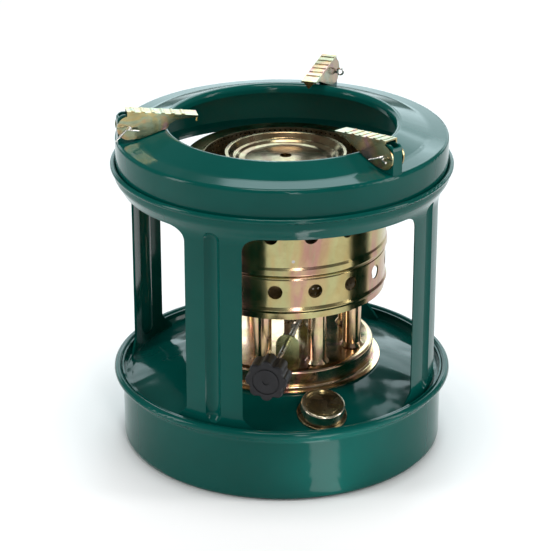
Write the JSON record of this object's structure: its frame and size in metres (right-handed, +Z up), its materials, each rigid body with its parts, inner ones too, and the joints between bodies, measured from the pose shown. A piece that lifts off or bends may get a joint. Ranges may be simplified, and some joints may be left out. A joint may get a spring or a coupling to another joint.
{
  "type": "portable kerosene stove heater",
  "caption": "Round enamelled fuel tank with a windowed leg frame and top ring around a multi-wick burner with a lift-off drum; hinged pan supports, a screw fuel cap and a wick knob.",
  "frame": {"origin": "centre of the tank's underside, on the surface it stands on", "axes": "+Z up, front towards -Y with the wick knob and the fuel cap, +X to the right seen from the front"},
  "size_m": [0.211, 0.211, 0.2202],
  "materials": {
    "green_enamel": "gloss stove enamel",
    "yellow_zinc": "yellow passivated zinc plate",
    "bronze_zinc": "dark bronze zinc plate",
    "tube_steel": "perforated steel, heat tinted",
    "plain_steel": "bare drawn steel",
    "bright_steel": "bright zinc wire",
    "wick_cotton": "woven cotton",
    "knob_plastic": "moulded, satin",
    "seal_rubber": "matt"
  },
  "bodies": {
    "frame": {"tank_pan": "green_enamel", "tank_top": "green_enamel", "filler_neck": "bronze_zinc", "leg_frame": "green_enamel", "top_ring": "green_enamel", "burner_gasket": "seal_rubber", "burner_base": "yellow_zinc", "gallery_plate": "yellow_zinc", "shaft_bracket_front": "yellow_zinc", "shaft_bracket_rear": "yellow_zinc", "support_bracket_1": "green_enamel", "support_bracket_2": "green_enamel", "support_bracket_3": "green_enamel", "support_pin_1": "bright_steel", "support_pin_2": "bright_steel", "support_pin_3": "bright_steel", "wick_tube_1": "yellow_zinc", "wick_tube_2": "yellow_zinc", "wick_tube_3": "yellow_zinc", "wick_tube_4": "yellow_zinc", "wick_tube_5": "yellow_zinc", "wick_tube_6": "yellow_zinc", "wick_tube_7": "yellow_zinc", "wick_tube_8": "yellow_zinc"},
    "wick_control": {"wick_shaft": "plain_steel", "pinion": "plain_steel", "knob": "knob_plastic", "knob_pin": "yellow_zinc"},
    "wick_lift": {"wick_rack": "plain_steel", "wick_carrier": "plain_steel", "wick_1": "wick_cotton", "wick_2": "wick_cotton", "wick_3": "wick_cotton", "wick_4": "wick_cotton", "wick_5": "wick_cotton", "wick_6": "wick_cotton", "wick_7": "wick_cotton", "wick_8": "wick_cotton"},
    "cap_seal": {"cap_gasket": "seal_rubber"},
    "cap": {"fuel_cap": "bronze_zinc"},
    "drum": {"outer_drum": "yellow_zinc", "outer_flame_tube": "tube_steel", "inner_flame_tube": "tube_steel", "flame_tube_pins": "plain_steel"},
    "spreader": {"spreader_dish": "yellow_zinc"},
    "support_1": {"pan_support_1": "yellow_zinc"},
    "support_2": {"pan_support_2": "yellow_zinc"},
    "support_3": {"pan_support_3": "yellow_zinc"}
  },
  "joints": [
    {"name": "support_1_swing", "type": "hinge", "parent": "frame", "child": "support_1", "pos_m": [-0.09182, -0.01818, 0.2098], "axis": [0.1942, -0.981, 0], "range_deg": [0, 120]},
    {"name": "support_2_swing", "type": "hinge", "parent": "frame", "child": "support_2", "pos_m": [0.06165, -0.07043, 0.2098], "axis": [0.7524, 0.6587, 0], "range_deg": [0, 120]},
    {"name": "support_3_swing", "type": "hinge", "parent": "frame", "child": "support_3", "pos_m": [0.03016, 0.08861, 0.2098], "axis": [-0.9466, 0.3223, 0], "range_deg": [0, 120]},
    {"name": "wick_turn", "type": "hinge", "parent": "frame", "child": "wick_control", "pos_m": [0.01272, -0.00244, 0.0785], "axis": [0.2284, 0.9736, 0], "range_deg": [-36, 108]},
    {"name": "wick_slide", "type": "slide", "parent": "frame", "child": "wick_lift", "axis": [0, 0, 1], "range_m": [-0.0037, 0.0113]},
    {"name": "cap_lift", "type": "slide", "parent": "frame", "child": "cap_seal", "axis": [0.0877, -0.2764, 0.957], "range_m": [0, 0.00598]},
    {"name": "cap_turn", "type": "hinge", "parent": "cap_seal", "child": "cap", "pos_m": [0.02389, -0.0753, 0.04635], "axis": [0.0877, -0.2764, 0.957], "range_deg": [0, 540]},
    {"name": "drum_lift", "type": "slide", "parent": "frame", "child": "drum", "axis": [0, 0, 1], "range_m": [0, 0.024]},
    {"name": "spreader_lift", "type": "slide", "parent": "drum", "child": "spreader", "axis": [0, 0, 1], "range_m": [0, 0.03]}
  ],
  "couplings": [
    {"joint": "wick_turn", "follows": "wick_slide", "rad_per_m": 166.67},
    {"joint": "cap_turn", "follows": "cap_lift", "rad_per_m": 1570.8}
  ]
}
